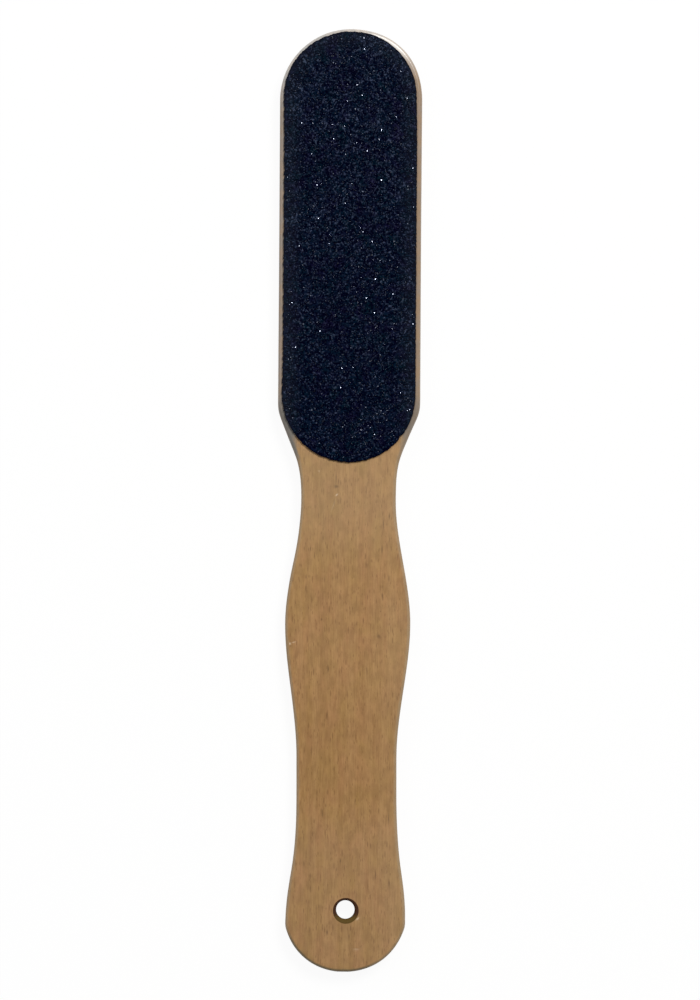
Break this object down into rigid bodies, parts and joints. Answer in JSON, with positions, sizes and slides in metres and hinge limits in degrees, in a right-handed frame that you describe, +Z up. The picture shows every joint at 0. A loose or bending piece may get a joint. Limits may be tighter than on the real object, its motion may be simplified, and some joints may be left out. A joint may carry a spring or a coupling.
{
  "type": "foot file",
  "caption": "Flat beech paddle foot file: a round-ended head with abrasive pads on its faces, a contoured grip and a hanging hole.",
  "frame": {"origin": "on the surface that the file lies on, below the middle of its length and width", "axes": "+Z up, out of the coarse pad; +Y along the paddle towards the head's tip; +X across it"},
  "size_m": [0.04, 0.265, 0.0076],
  "materials": {
    "beech": "satin",
    "glue_film": "gloss",
    "backing_paper": "matte",
    "coarse_grit": "satin",
    "fine_grit": "matte"
  },
  "bodies": {
    "root": {"beech_paddle": "beech", "coarse_glue_film": "glue_film", "coarse_backing": "backing_paper", "coarse_grit_coat": "coarse_grit", "fine_glue_film": "glue_film", "fine_backing": "backing_paper", "fine_grit_coat": "fine_grit"}
  },
  "joints": []
}
